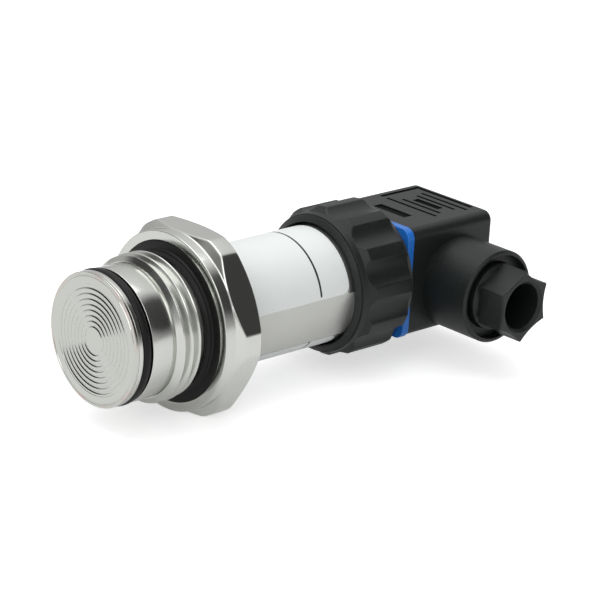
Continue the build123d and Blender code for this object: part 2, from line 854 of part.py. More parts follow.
# Terminal insert with a pocket for each clip
insert_width = plug_width - 2 * plug_wall - 2 * insert_clear
insert_height = plug_height - 2 * plug_wall - 2 * insert_clear
blade_window = blade_thick + 2 * blade_window_clear
blade_window_long = blade_width + 2 * blade_window_clear
pocket_height = clip_height + 2 * clip_pocket_clear
pocket_width = clip_width + 2 * clip_pocket_clear
with BuildPart() as terminal_insert:
    with BuildSketch(Plane.YZ.offset(plug_front)):
        RectangleRounded(insert_width, insert_height, inner_corner)
    extrude(amount=insert_length)
    with BuildSketch(Plane.YZ.offset(plug_front)):
        Circle(screw_hole_r)
        with Locations((blade_offset, 0), (-blade_offset, 0)):
            Rectangle(blade_window, blade_window_long)
        with Locations((0, blade_offset), (0, -blade_offset)):
            Rectangle(blade_window_long, blade_window)
    extrude(amount=insert_length, mode=Mode.SUBTRACT)
    with BuildSketch(Plane.YZ.offset(clip_start)):
        with Locations((blade_offset, 0), (-blade_offset, 0)):
            Rectangle(pocket_height, pocket_width)
        with Locations((0, blade_offset), (0, -blade_offset)):
            Rectangle(pocket_width, pocket_height)
    extrude(amount=insert_end - clip_start, mode=Mode.SUBTRACT)
save(terminal_insert, "terminal_insert")

# Four clips, each with a slot for its blade and a thread for its screw
clip_slot = blade_thick + 2 * clip_slot_clear
clip_slot_long = blade_width + 2 * clip_slot_side_clear
terminal_head_r = clip_height / 2 - terminal_head_clear
terminal_thread_r = terminal_head_r - terminal_thread_step
with BuildPart() as terminal_clips:
    with BuildSketch(Plane.YZ.offset(clip_start)):
        with Locations((blade_offset, 0), (-blade_offset, 0)):
            Rectangle(clip_height, clip_width)
        with Locations((0, blade_offset), (0, -blade_offset)):
            Rectangle(clip_width, clip_height)
    extrude(amount=clip_end - clip_start)
    with BuildSketch(Plane.YZ.offset(clip_start)):
        with Locations((blade_offset, 0), (-blade_offset, 0)):
            Rectangle(clip_slot, clip_slot_long)
        with Locations((0, blade_offset), (0, -blade_offset)):
            Rectangle(clip_slot_long, clip_slot)
    extrude(amount=clip_slot_end - clip_start, mode=Mode.SUBTRACT)
    with BuildSketch(Plane.YZ.offset(clip_slot_end)):
        with PolarLocations(blade_offset, 4):
            Circle(terminal_thread_r)
    extrude(amount=clip_thread_length, mode=Mode.SUBTRACT)
save(terminal_clips, "terminal_clips")

with BuildPart() as terminal_screws:
    with BuildSketch(Plane.YZ.offset(clip_end)):
        with PolarLocations(blade_offset, 4):
            Circle(terminal_head_r)
    extrude(amount=terminal_head_height)
    with BuildSketch(Plane.YZ.offset(clip_end)):
        with PolarLocations(blade_offset, 4):
            Circle(terminal_thread_r)
    extrude(amount=-clip_thread_length)
    with BuildSketch(Plane.YZ.offset(clip_end + terminal_head_height)):
        with PolarLocations(blade_offset, 4):
            Rectangle(terminal_slot_width, 2 * clip_height)
    extrude(amount=-terminal_slot_depth, mode=Mode.SUBTRACT)
save(terminal_screws, "terminal_screws")

# Fixing screw through the plug into the bush of the base
seat_x = plug_rear - screw_seat_depth
head_x = seat_x + screw_washer_thick
screw_tip = bush_start + screw_bush_rest
with BuildPart() as fixing_screw:
    with BuildSketch(Plane.YZ.offset(screw_tip)):
        Circle(screw_r)
    extrude(amount=head_x - screw_tip)
    chamfer(fixing_screw.faces().sort_by(Axis.X)[0].edges(), length=screw_tip_bevel)
    with BuildSketch(Plane.YZ.offset(head_x)):
        Circle(screw_head_r)
    extrude(amount=screw_head_height)
    with BuildSketch(Plane.YZ.offset(head_x + screw_head_height)):
        Rectangle(screw_slot_width, 3 * screw_head_r)
    extrude(amount=-screw_slot_depth, mode=Mode.SUBTRACT)
save(fixing_screw, "fixing_screw")

screw_seal = disc(seat_x, screw_washer_thick, screw_seat_r - screw_washer_clear, screw_hole_r)
save(screw_seal, "screw_seal")

# Cable gland: rubber grommet, thrust washer and star-headed nut
gland_seal = gland_ring(gland_floor, grommet_length, gland_bore_r - grommet_clear, grommet_bore_r)
save(gland_seal, "gland_seal")

gland_washer = gland_ring(washer_start, washer_thick, gland_bore_r - washer_clear, washer_bore_r)
save(gland_washer, "gland_washer")

star = []
for index in range(2 * gland_tips):
    reach = gland_tip_r if index % 2 == 0 else gland_tip_r - gland_waist_depth
    bearing = radians(gland_tip_turn + index * 180 / gland_tips)
    star.append((boss_x + reach * cos(bearing), boss_z + reach * sin(bearing)))
with BuildPart() as gland_nut:
    with BuildSketch(Plane.XZ.offset(shank_start)):
        with Locations((boss_x, boss_z)):
            Circle(gland_shank_r)
    extrude(amount=head_start - shank_start)
    with BuildSketch(Plane.XZ.offset(head_start)) as star_sketch:
        with BuildLine():
            Polyline(*star, close=True)
        make_face()
        waists = star_sketch.vertices().sort_by_distance((boss_x, boss_z, 0))[:gland_tips]
        fillet(waists, radius=gland_waist_round)
    extrude(amount=gland_head_length)
    with BuildSketch(Plane.XZ.offset(shank_start)):
        with Locations((boss_x, boss_z)):
            Circle(cable_bore_r)
    extrude(amount=head_end - shank_start, mode=Mode.SUBTRACT)
    outer_mouth = gland_nut.faces().sort_by(Axis.Y)[0].inner_wires()[0]
    chamfer(outer_mouth.edges(), length=gland_bore_bevel)
save(gland_nut, "gland_nut")
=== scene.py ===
"""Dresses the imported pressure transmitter: finishes, fine threads, seals, label and a small studio."""

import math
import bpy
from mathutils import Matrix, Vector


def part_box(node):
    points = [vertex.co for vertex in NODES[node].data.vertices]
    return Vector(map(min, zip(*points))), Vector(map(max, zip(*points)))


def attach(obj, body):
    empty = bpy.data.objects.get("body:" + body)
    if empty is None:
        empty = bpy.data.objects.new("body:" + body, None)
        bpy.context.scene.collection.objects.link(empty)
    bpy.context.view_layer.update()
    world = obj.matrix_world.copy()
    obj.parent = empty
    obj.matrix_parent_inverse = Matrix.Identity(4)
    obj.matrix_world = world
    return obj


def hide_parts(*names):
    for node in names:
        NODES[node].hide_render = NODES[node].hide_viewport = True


bl_info = {
    "name": "Pressure Transmitter Dresser",
    "version": (1, 0, 0),
    "blender": (4, 5, 0),
    "location": "View3D > Sidebar > Transmitter",
    "description": "Builds the visible surfaces of a flush-diaphragm pressure transmitter on its CAD frame",
    "category": "Object",
}

import bmesh
import bpy
from mathutils import Matrix, Vector

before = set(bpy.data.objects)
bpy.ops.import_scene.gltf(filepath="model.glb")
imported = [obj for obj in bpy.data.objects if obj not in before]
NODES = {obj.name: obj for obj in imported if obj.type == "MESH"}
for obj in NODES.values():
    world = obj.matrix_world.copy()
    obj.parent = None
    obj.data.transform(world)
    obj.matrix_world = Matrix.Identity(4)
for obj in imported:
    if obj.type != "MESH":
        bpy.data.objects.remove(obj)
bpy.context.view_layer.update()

MM = 0.001
ROOT = "transmitter"
CONNECTOR = "connector"
NUT_BODY = "case_nut"
PLUG_BODY = "plug"
CABLE_NUT_BODY = "cable_nut"


def low(name):
    """Lowest corner of a CAD node, in metres."""
    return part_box(name)[0]


def high(name):
    """Highest corner of a CAD node, in metres."""
    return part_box(name)[1]


# Places read from the frame
HEX_FLATS = 2 * high("process_connection")[2]
LABEL_START = low("case_label")[0]
LABEL_END = high("case_label")[0]
NUT_FRONT = low("union_nut")[0]
NUT_REAR = high("union_nut")[0]
NUT_RADIUS = high("union_nut")[2]
FLOOR_LEVEL = min(low("process_connection")[2], low("union_nut")[2])

# Looks
RADIAL_SHARE = 1.37  # lathe rings passed along the radius, for each one along the axis
STRAW = [0.62, 0.47, 0.24, 1]
ROSE = [0.58, 0.36, 0.36, 1]
PRINT_BLACK = [0.02, 0.02, 0.022, 1]


# Node helpers

def node(tree, kind, inputs=None, **settings):
    """Adds a node, sets its settings, and sets or links its inputs."""
    made = tree.nodes.new(kind)
    for key, value in settings.items():
        setattr(made, key, value)
    for socket, value in (inputs or {}).items():
        if isinstance(value, bpy.types.NodeSocket):
            tree.links.new(value, made.inputs[socket])
        else:
            made.inputs[socket].default_value = value
    return made


def calc(tree, operation, *values):
    """A Math node's result."""
    return node(tree, "ShaderNodeMath", dict(enumerate(values)), operation=operation).outputs[0]


def mix_colour(tree, factor, first, second):
    """A colour mixed from two by a factor."""
    made = node(tree, "ShaderNodeMix", data_type="RGBA")
    for index, value in ((0, factor), (6, first), (7, second)):
        if isinstance(value, bpy.types.NodeSocket):
            tree.links.new(value, made.inputs[index])
        else:
            made.inputs[index].default_value = value
    return made.outputs[2]


def spread(tree, value, low_in, high_in, low_out, high_out):
    """Maps a value from one span to another, clamped."""
    sockets = {"Value": value, "From Min": low_in, "From Max": high_in, "To Min": low_out, "To Max": high_out}
    return node(tree, "ShaderNodeMapRange", sockets).outputs["Result"]


def new_group(name, inputs, outputs):
    """An empty shader node group with named sockets."""
    group = bpy.data.node_groups.new(name, "ShaderNodeTree")
    for label, value in inputs:
        socket = group.interface.new_socket(name=label, in_out="INPUT", socket_type="NodeSocketFloat")
        socket.default_value = value
    for label in outputs:
        group.interface.new_socket(name=label, in_out="OUTPUT", socket_type="NodeSocketFloat")
    return group, node(group, "NodeGroupInput").outputs, node(group, "NodeGroupOutput").inputs


def object_place(tree):
    """The place in object coordinates: as a vector, along the axis, and away from the axis."""
    place = node(tree, "ShaderNodeTexCoord").outputs["Object"]
    x, y, z = node(tree, "ShaderNodeSeparateXYZ", {"Vector": place}).outputs
    squares = calc(tree, "ADD", calc(tree, "POWER", y, 2.0), calc(tree, "POWER", z, 2.0))
    return place, x, calc(tree, "SQRT", squares)


def turned_grooves():
    """Fine tool rings left by a lathe: they change along the axis and along the radius only."""
    group, given, result = new_group("Turned grooves", [("Spacing", 0.12), ("Unevenness", 0.4)],
                                     ["Height", "Tone"])
    place, x, radius = object_place(group)
    scale = calc(group, "DIVIDE", 1 / MM, given["Spacing"])
    way_in = calc(group, "MULTIPLY", radius, RADIAL_SHARE)
    along = calc(group, "MULTIPLY", calc(group, "ADD", x, way_in), scale)
    rings = node(group, "ShaderNodeTexNoise", {"W": along, "Scale": 1.0, "Detail": 2.0},
                 noise_dimensions="1D")
    blotch = node(group, "ShaderNodeTexNoise", {"Vector": place, "Scale": 90.0, "Detail": 3.0})
    uneven = calc(group, "MULTIPLY", calc(group, "SUBTRACT", blotch.outputs["Fac"], 0.5), given["Unevenness"])
    group.links.new(rings.outputs["Fac"], result["Height"])
    group.links.new(calc(group, "ADD", rings.outputs["Fac"], uneven), result["Tone"])
    return group


def moulded_grain():
    """The fine spark-eroded grain of a plastic moulding, with faint flow marks."""
    group, given, result = new_group("Moulded grain", [("Scale", 2600.0), ("Flow", 0.35)], ["Height", "Tone"])
    place = node(group, "ShaderNodeTexCoord").outputs["Object"]
    grain = node(group, "ShaderNodeTexNoise", {"Vector": place, "Scale": given["Scale"], "Detail": 2.0})
    flow = node(group, "ShaderNodeTexNoise",
                {"Vector": place, "Scale": 70.0, "Detail": 3.0, "Distortion": 0.6})
    drift = calc(group, "MULTIPLY", calc(group, "SUBTRACT", flow.outputs["Fac"], 0.5), given["Flow"])
    group.links.new(grain.outputs["Fac"], result["Height"])
    group.links.new(calc(group, "ADD", grain.outputs["Fac"], drift), result["Tone"])
    return group


def use_group(tree, group, **values):
    """Places a shader group with its own values."""
    made = node(tree, "ShaderNodeGroup", node_tree=group)
    for key, value in values.items():
        made.inputs[key].default_value = value
    return made.outputs


def bare_material(name):
    """A new material with its node tree and its Principled shader."""
    material = bpy.data.materials.new(name)
    material.use_nodes = True
    return material, material.node_tree, material.node_tree.nodes["Principled BSDF"]


def textured(name, colour, group, values, contrast, rough_span, depth, sockets):
    """A material with a group's pattern in its colour, its roughness and its surface."""
    material, tree, shader = bare_material(name)
    pattern = use_group(tree, bpy.data.node_groups[group], **values)
    dark = [part * (1 - contrast[0]) for part in colour] + [1]
    bright = [min(1, part * (1 + contrast[1])) for part in colour] + [1]
    factor = spread(tree, pattern["Tone"], 0.3, 0.7, 0.0, 1.0)
    tree.links.new(mix_colour(tree, factor, dark, bright), shader.inputs["Base Color"])
    tree.links.new(spread(tree, pattern["Tone"], 0.25, 0.75, *rough_span), shader.inputs["Roughness"])
    bump = node(tree, "ShaderNodeBump", {"Height": pattern["Height"], "Strength": 1.0, "Distance": depth})
    tree.links.new(bump.outputs["Normal"], shader.inputs["Normal"])
    for socket, value in sockets.items():
        shader.inputs[socket.replace("_", " ")].default_value = value
    return material


def metal(name, colour, roughness, spacing, depth, contrast=0.10, **sockets):
    """A metal with lathe rings, whose spacing is in millimetres and whose depth is in metres."""
    return textured(name, colour, "Turned grooves", {"Spacing": spacing}, (contrast, contrast * 0.4),
                    (roughness * 1.18, roughness * 0.85), depth, {"Metallic": 1.0, **sockets})


def plastic(name, colour, roughness, scale=2600.0, depth=0.00002, contrast=0.25, **sockets):
    """A moulded plastic or rubber with fine grain."""
    return textured(name, colour, "Moulded grain", {"Scale": scale}, (contrast, contrast),
                    (roughness * 0.9, roughness * 1.12), depth, sockets)


def weld_tint():
    """The straw and rose colours that welding leaves near a round edge."""
    group, given, result = new_group("Weld tint", [("Radius", 0.0146), ("Width", 0.0007)], ["Amount", "Hue"])
    place, _, radius = object_place(group)
    away = calc(group, "ABSOLUTE", calc(group, "SUBTRACT", radius, given["Radius"]))
    off = calc(group, "DIVIDE", away, given["Width"])
    noise = node(group, "ShaderNodeTexNoise", {"Vector": place, "Scale": 160.0, "Detail": 2.0})
    patches = noise.outputs["Fac"]
    near = calc(group, "SUBTRACT", 1.0, calc(group, "MINIMUM", off, 1.0))
    amount = spread(group, patches, 0.48, 0.66, 0.0, 0.55)
    group.links.new(calc(group, "MULTIPLY", near, amount), result["Amount"])
    group.links.new(patches, result["Hue"])
    return group


def tint_edge(material):
    """Lays the weld's colours over a metal's own colour."""
    tree = material.node_tree
    colour = tree.nodes["Principled BSDF"].inputs["Base Color"]
    own = colour.links[0].from_socket
    tint = use_group(tree, bpy.data.node_groups["Weld tint"])
    hue = mix_colour(tree, spread(tree, tint["Hue"], 0.45, 0.60, 0.0, 1.0), STRAW, ROSE)
    tree.links.new(mix_colour(tree, tint["Amount"], own, hue), colour)


def label_film(name, colour, line_place, line_width, line_end):
    """White film with one thin printed line round it, which stops short of the film's lower edge."""
    material, tree, shader = bare_material(name)
    place = node(tree, "ShaderNodeTexCoord").outputs["Object"]
    parts = node(tree, "ShaderNodeSeparateXYZ", {"Vector": place}).outputs
    off_line = calc(tree, "ABSOLUTE", calc(tree, "SUBTRACT", parts[0], line_place))
    on_line = calc(tree, "LESS_THAN", off_line, line_width / 2)
    turn = calc(tree, "ARCTAN2", parts[2], parts[1])
    behind = calc(tree, "LESS_THAN", turn, line_end)
    mask = calc(tree, "MULTIPLY", on_line, behind)
    fibre = node(tree, "ShaderNodeTexNoise", {"Vector": place, "Scale": 420.0, "Detail": 3.0}).outputs["Fac"]
    shade = [part * 0.97 for part in colour] + [1]
    paper = mix_colour(tree, fibre, shade, list(colour) + [1])
    tree.links.new(mix_colour(tree, mask, paper, PRINT_BLACK), shader.inputs["Base Color"])
    tree.links.new(spread(tree, fibre, 0.3, 0.7, 0.30, 0.38), shader.inputs["Roughness"])
    bump = node(tree, "ShaderNodeBump", {"Height": fibre, "Strength": 0.6, "Distance": 0.00001})
    tree.links.new(bump.outputs["Normal"], shader.inputs["Normal"])
    return material


# Mesh helpers

PLAIN_STEP = 3.0  # longest stretch of an outline, in millimetres, where no rule shapes it


def rounded(points, steps=4):
    """An outline with its corners rounded. Each point is (x, r) or (x, r, corner radius), in millimetres."""
    result = []
    count = len(points)
    for index, point in enumerate(points):
        here = Vector(point[:2])
        size = point[2] if len(point) > 2 else 0
        before = Vector(points[index - 1][:2]) - here
        after = Vector(points[(index + 1) % count][:2]) - here
        if size == 0 or before.length == 0 or after.length == 0:
            result.append(here)
            continue
        half = before.angle(after) / 2
        back_off = min(size / math.tan(half), before.length * 0.49, after.length * 0.49)
        reach = back_off * math.tan(half)
        start = here + before.normalized() * back_off
        centre = here + (before.normalized() + after.normalized()).normalized() * (reach / math.sin(half))
        first = start - centre
        total = math.pi - 2 * half
        sense = 1 if before.x * after.y - before.y * after.x > 0 else -1
        for step in range(steps + 1):
            turn = -sense * total * step / steps
            cos, sin = math.cos(turn), math.sin(turn)
            result.append(centre + Vector((first.x * cos - first.y * sin, first.x * sin + first.y * cos)))
    return result


def denser(outline, spacing, shaped_stretch=None):
    """The same closed outline with its stretches divided, finely where the shape rule works on them."""
    result = []
    for index, here in enumerate(outline):
        after = outline[(index + 1) % len(outline)]
        step = spacing if shaped_stretch is None or shaped_stretch(here, after) else PLAIN_STEP
        parts = max(1, math.ceil((after - here).length / step))
        result.extend(here.lerp(after, part / parts) for part in range(parts))
    return result


def finish_mesh(mesh, name, material, sharp=35.0, flat_join=0.0):
    """Makes a smooth-shaded object of a mesh whose normals point outwards."""
    stored = mesh.attributes.get("custom_normal")
    if stored:
        mesh.attributes.remove(stored)
    work = bmesh.new()
    work.from_mesh(mesh)
    bmesh.ops.remove_doubles(work, verts=work.verts, dist=1e-6)
    bmesh.ops.dissolve_degenerate(work, edges=work.edges, dist=1e-7)
    if flat_join > 0:
        bmesh.ops.dissolve_limit(work, angle_limit=math.radians(flat_join), verts=work.verts,
                                 edges=work.edges)
    bmesh.ops.recalc_face_normals(work, faces=work.faces)
    work.to_mesh(mesh)
    work.free()
    for polygon in mesh.polygons:
        polygon.use_smooth = True
    mesh.set_sharp_from_angle(angle=math.radians(sharp))
    mesh.materials.clear()
    mesh.materials.append(material)
    return linked(name, mesh)


def plain_mesh(name, verts, faces):
    mesh = bpy.data.meshes.new(name)
    mesh.from_pydata(verts, [], faces)
    return mesh


def linked(name, data):
    """A new object of a mesh, a lamp or a camera, in the scene."""
    made = bpy.data.objects.new(name, data)
    bpy.context.scene.collection.objects.link(made)
    return made


def applied(made, modifier):
    """The mesh that a modifier gives. The modifier is taken off again."""
    graph = bpy.context.evaluated_depsgraph_get()
    result = bpy.data.meshes.new_from_object(made.evaluated_get(graph), depsgraph=graph)
    made.modifiers.remove(modifier)
    return result


def turned(name, outline, segments):
    """The mesh of a closed outline turned round X. The outline is in millimetres."""
    verts = []
    for point in outline:
        for index in range(segments):
            turn = 2 * math.pi * index / segments
            verts.append((point.x * MM, point.y * MM * math.cos(turn), point.y * MM * math.sin(turn)))
    rings = len(outline)
    faces = []
    for ring in range(rings):
        next_ring = (ring + 1) % rings
        for index in range(segments):
            step = (index + 1) % segments
            faces.append((ring * segments + index, ring * segments + step,
                          next_ring * segments + step, next_ring * segments + index))
    return plain_mesh(name, verts, faces)


def join_meshes(name, meshes):
    """One mesh out of several."""
    work = bmesh.new()
    for mesh in meshes:
        work.from_mesh(mesh)
    joined = bpy.data.meshes.new(name)
    work.to_mesh(joined)
    work.free()
    return joined


def copy_of(node_name, name, material, sharp=30.0, bevel=0.0):
    """A merged and smoothed copy of a CAD node, which takes the node's place."""
    made = finish_mesh(NODES[node_name].data.copy(), name, material, sharp, flat_join=0.5)
    if bevel > 0:
        soften(made, bevel)
    return made


def soften(made, width):
    """Rounds the sharp edges of a finished piece a little."""
    edge = made.modifiers.new("Edges", "BEVEL")
    edge.width = width
    edge.segments = 2
    edge.limit_method = "ANGLE"
    edge.angle_limit = math.radians(35)
    edge.harden_normals = True


def place(made, body, *nodes):
    """Seats a finished piece on its body, in place of its CAD nodes."""
    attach(made, body)
    if nodes:
        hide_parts(*nodes)
    return made


# Shape rules made with Geometry Nodes

class Rule:
    """A Geometry Nodes tree that moves each point of a turned mesh by its angle, place and radius."""

    def __init__(self, name, sizes):
        self.tree = bpy.data.node_groups.new(name, "GeometryNodeTree")
        face = self.tree.interface
        face.new_socket(name="Geometry", in_out="INPUT", socket_type="NodeSocketGeometry")
        for label, value in sizes.items():
            socket = face.new_socket(name=label, in_out="INPUT", socket_type="NodeSocketFloat")
            socket.default_value = value
        face.new_socket(name="Material", in_out="INPUT", socket_type="NodeSocketMaterial")
        face.new_socket(name="Geometry", in_out="OUTPUT", socket_type="NodeSocketGeometry")
        self.given = node(self.tree, "NodeGroupInput").outputs
        point = node(self.tree, "GeometryNodeInputPosition").outputs[0]
        self.x, self.y, self.z = node(self.tree, "ShaderNodeSeparateXYZ", {"Vector": point}).outputs
        across = self.do("ADD", self.do("MULTIPLY", self.y, self.y), self.do("MULTIPLY", self.z, self.z))
        self.radius = self.do("SQRT", across)
        self.angle = self.do("ARCTAN2", self.z, self.y)

    def do(self, operation, *values):
        return calc(self.tree, operation, *values)

    def close(self, x, radius):
        """Sets every point to its new place along X and its new radius."""
        tree = self.tree
        y = self.do("MULTIPLY", radius, self.do("COSINE", self.angle))
        z = self.do("MULTIPLY", radius, self.do("SINE", self.angle))
        where = node(tree, "ShaderNodeCombineXYZ", {"X": x, "Y": y, "Z": z}).outputs[0]
        moved = node(tree, "GeometryNodeSetPosition", {"Geometry": self.given["Geometry"], "Position": where})
        real = node(tree, "GeometryNodeRealizeInstances", {"Geometry": moved.outputs[0]})
        dressed = node(tree, "GeometryNodeSetMaterial",
                       {"Geometry": real.outputs[0], "Material": self.given["Material"]})
        node(tree, "NodeGroupOutput", {"Geometry": dressed.outputs[0]})
        return tree


def hexagon_rule():
    """Cuts a turned blank to a hexagon, with its edges softened."""
    rule = Rule("Hexagon", {"Flats": HEX_FLATS, "Softness": 0.0003, "Sides": 6.0, "Turn": 0.0})
    do, given = rule.do, rule.given
    pitch = do("DIVIDE", 2 * math.pi, given["Sides"])
    shifted = do("ADD", do("SUBTRACT", rule.angle, given["Turn"]), 4 * math.pi)
    local = do("SUBTRACT", do("FLOORED_MODULO", shifted, pitch), do("DIVIDE", pitch, 2.0))
    flat = do("DIVIDE", do("DIVIDE", given["Flats"], 2.0), do("COSINE", local))
    radius = do("SMOOTH_MIN", rule.radius, flat, given["Softness"])
    return rule.close(rule.x, radius)


def thread_rule():
    """Cuts a helical V groove, with rounded root and crest, into a turned blank."""
    rule = Rule("Pipe thread", {"Pitch": 2.309 * MM, "Crest": 16.62 * MM, "Root": 15.14 * MM, "Start": 0.0107,
                                "Softness": 0.0002})
    do, given = rule.do, rule.given
    turns = do("DIVIDE", rule.angle, 2 * math.pi)
    along = do("DIVIDE", do("SUBTRACT", rule.x, given["Start"]), given["Pitch"])
    phase = do("FLOORED_MODULO", do("ADD", do("SUBTRACT", along, turns), 10.0), 1.0)
    wave = do("ABSOLUTE", do("SUBTRACT", do("MULTIPLY", phase, 2.0), 1.0))
    depth = do("SUBTRACT", given["Crest"], given["Root"])
    share = do("DIVIDE", do("SUBTRACT", wave, 0.10), 0.80)
    flank = do("ADD", given["Root"], do("MULTIPLY", depth, share))
    floor = do("SMOOTH_MAX", flank, given["Root"], given["Softness"])
    crest = do("SMOOTH_MIN", floor, given["Crest"], given["Softness"])
    radius = do("SMOOTH_MIN", rule.radius, crest, given["Softness"])
    outer = do("GREATER_THAN", rule.radius, do("SUBTRACT", given["Root"], 0.0012))
    kept = do("MULTIPLY", rule.radius, do("SUBTRACT", 1.0, outer))
    return rule.close(rule.x, do("ADD", do("MULTIPLY", radius, outer), kept))


def scallop_rule():
    """Cuts round valleys along the outside of a nut, and bevels the front edge of the cut."""
    rule = Rule("Scallops", {"Lobes": 12.0, "Turn": math.radians(9), "Valley Radius": 0.006,
                             "Valley Centre": 0.02255, "Softness": 0.00008, "Front": 0.0, "Edge": 0.0})
    do, given = rule.do, rule.given
    pitch = do("DIVIDE", 2 * math.pi, given["Lobes"])
    half = do("DIVIDE", pitch, 2.0)
    shifted = do("ADD", do("SUBTRACT", rule.angle, given["Turn"]), do("ADD", half, 4 * math.pi))
    local = do("SUBTRACT", do("FLOORED_MODULO", shifted, pitch), half)
    centre = given["Valley Centre"]
    across = do("MULTIPLY", centre, do("SINE", local))
    room = do("SUBTRACT", do("MULTIPLY", given["Valley Radius"], given["Valley Radius"]),
              do("MULTIPLY", across, across))
    reach = do("SQRT", do("MAXIMUM", room, 0.0))
    valley = do("SUBTRACT", do("MULTIPLY", centre, do("COSINE", local)), reach)
    inside = do("GREATER_THAN", room, 0.0)
    far = do("SUBTRACT", 1.0, inside)
    from_front = do("SUBTRACT", rule.x, given["Front"])
    bevel = do("MAXIMUM", do("SUBTRACT", given["Edge"], from_front), 0.0)
    limit = do("SUBTRACT", do("ADD", valley, far), bevel)
    return rule.close(rule.x, do("SMOOTH_MIN", rule.radius, limit, given["Softness"]))


def corrugation_rule():
    """Presses concentric grooves into a flat foil."""
    rule = Rule("Corrugations", {"Grooves": 8.0, "First": 3.18 * MM, "Pitch": 1.21 * MM, "Width": 0.95 * MM,
                                 "Depth": 0.20 * MM})
    do, given = rule.do, rule.given
    last = do("SUBTRACT", given["Grooves"], 1.0)
    place_in = do("DIVIDE", do("SUBTRACT", rule.radius, given["First"]), given["Pitch"])
    nearest = do("MAXIMUM", do("MINIMUM", do("ROUND", place_in), last), 0.0)
    off = do("MULTIPLY", do("ABSOLUTE", do("SUBTRACT", place_in, nearest)), given["Pitch"])
    share = do("MINIMUM", do("DIVIDE", off, do("DIVIDE", given["Width"], 2.0)), 1.0)
    press = do("ADD", do("MULTIPLY", do("COSINE", do("MULTIPLY", share, math.pi)), 0.5), 0.5)
    front = do("LESS_THAN", rule.x, 0.0002)
    depth = do("MULTIPLY", do("MULTIPLY", press, given["Depth"]), front)
    return rule.close(do("ADD", rule.x, depth), rule.radius)


def shaped(mesh, name, rule_tree, material, values, sharp=35.0):
    """Runs a shape rule on a turned mesh and keeps the result as a plain mesh."""
    blank = linked(name, mesh)
    modifier = blank.modifiers.new("Rule", "NODES")
    modifier.node_group = rule_tree
    sockets = {item.name: item.identifier for item in rule_tree.interface.items_tree
               if item.in_out == "INPUT"}
    for label, value in values.items():
        modifier[sockets[label]] = value
    modifier[sockets["Material"]] = material
    result = applied(blank, modifier)
    bpy.data.objects.remove(blank)
    result.name = name
    return finish_mesh(result, name, material, sharp)


# Settings

def length(name, description, default):
    """A length setting, in metres."""
    return bpy.props.FloatProperty(name=name, description=description, default=default,
                                   subtype="DISTANCE", unit="LENGTH", precision=5)


def angle(name, description, degrees):
    """An angle setting, given in degrees."""
    return bpy.props.FloatProperty(name=name, description=description, default=math.radians(degrees),
                                   subtype="ANGLE", unit="ROTATION")


def colour(name, description, default):
    """A colour setting."""
    return bpy.props.FloatVectorProperty(name=name, description=description, default=default, size=3,
                                         subtype="COLOR")


class TransmitterSteel(bpy.types.PropertyGroup):
    """Sizes and finish of the turned steel pieces."""
    nose_radius: length("Nose radius", "Radius of the smooth nose", 0.015)
    thread_pitch: length("Thread pitch", "Pitch of the pipe thread", 0.002309)
    hex_softness: length("Hexagon edge", "Softness of the hexagon's edges", 0.0004)
    steel_colour: colour("Steel colour", "Colour of the steel", (0.60, 0.61, 0.58))
    foil_colour: colour("Foil colour", "Colour of the diaphragm", (0.53, 0.54, 0.51))


class TransmitterDiaphragm(bpy.types.PropertyGroup):
    """Sizes of the corrugated foil."""
    grooves: bpy.props.IntProperty(name="Grooves", description="Number of pressed rings", default=8)
    first: length("First groove", "Radius of the innermost groove", 0.00318)
    pitch: length("Groove pitch", "Distance from groove to groove", 0.00121)
    depth: length("Groove depth", "Depth of each groove", 0.00017)


class TransmitterLabel(bpy.types.PropertyGroup):
    """Sizes and colour of the label film."""
    film_colour: colour("Film colour", "Colour of the film", (0.79, 0.82, 0.812))
    line_place: length("Line place", "Place of the printed line along the axis", 0.05387)
    line_width: length("Line width", "Width of the printed line", 0.00055)
    line_end: angle("Line end", "Angle round the axis where the printed line ends", 168.5)
    corner: length("Corner radius", "Radius of the film's corners", 0.0020)


class TransmitterPlastic(bpy.types.PropertyGroup):
    """Colours of the moulded pieces."""
    black: colour("Black", "Colour of the black mouldings", (0.0095, 0.0115, 0.0110))
    blue: colour("Blue", "Colour of the gasket", (0.012, 0.15, 0.56))
    rubber: colour("Rubber", "Colour of the seals", (0.0055, 0.0060, 0.0055))


class TransmitterStage(bpy.types.PropertyGroup):
    """Camera and light."""
    azimuth: angle("Azimuth", "Camera's angle round the object", -43.27)
    elevation: angle("Elevation", "Camera's angle above the axis", 19.99)
    roll: angle("Roll", "Camera's turn about its own line of sight", 3.09)
    place: bpy.props.FloatVectorProperty(name="Camera place", description="Where the camera stands", size=3,
                                         default=(-0.31526, -0.39867, 0.19590), subtype="TRANSLATION",
                                         unit="LENGTH", precision=5)
    lens: bpy.props.FloatProperty(name="Lens", description="Focal length on a sensor 36 mm wide",
                                  default=152.4, unit="CAMERA")
    light: bpy.props.FloatProperty(name="Light", description="Strength of the studio's light", default=1.0)


# Operators

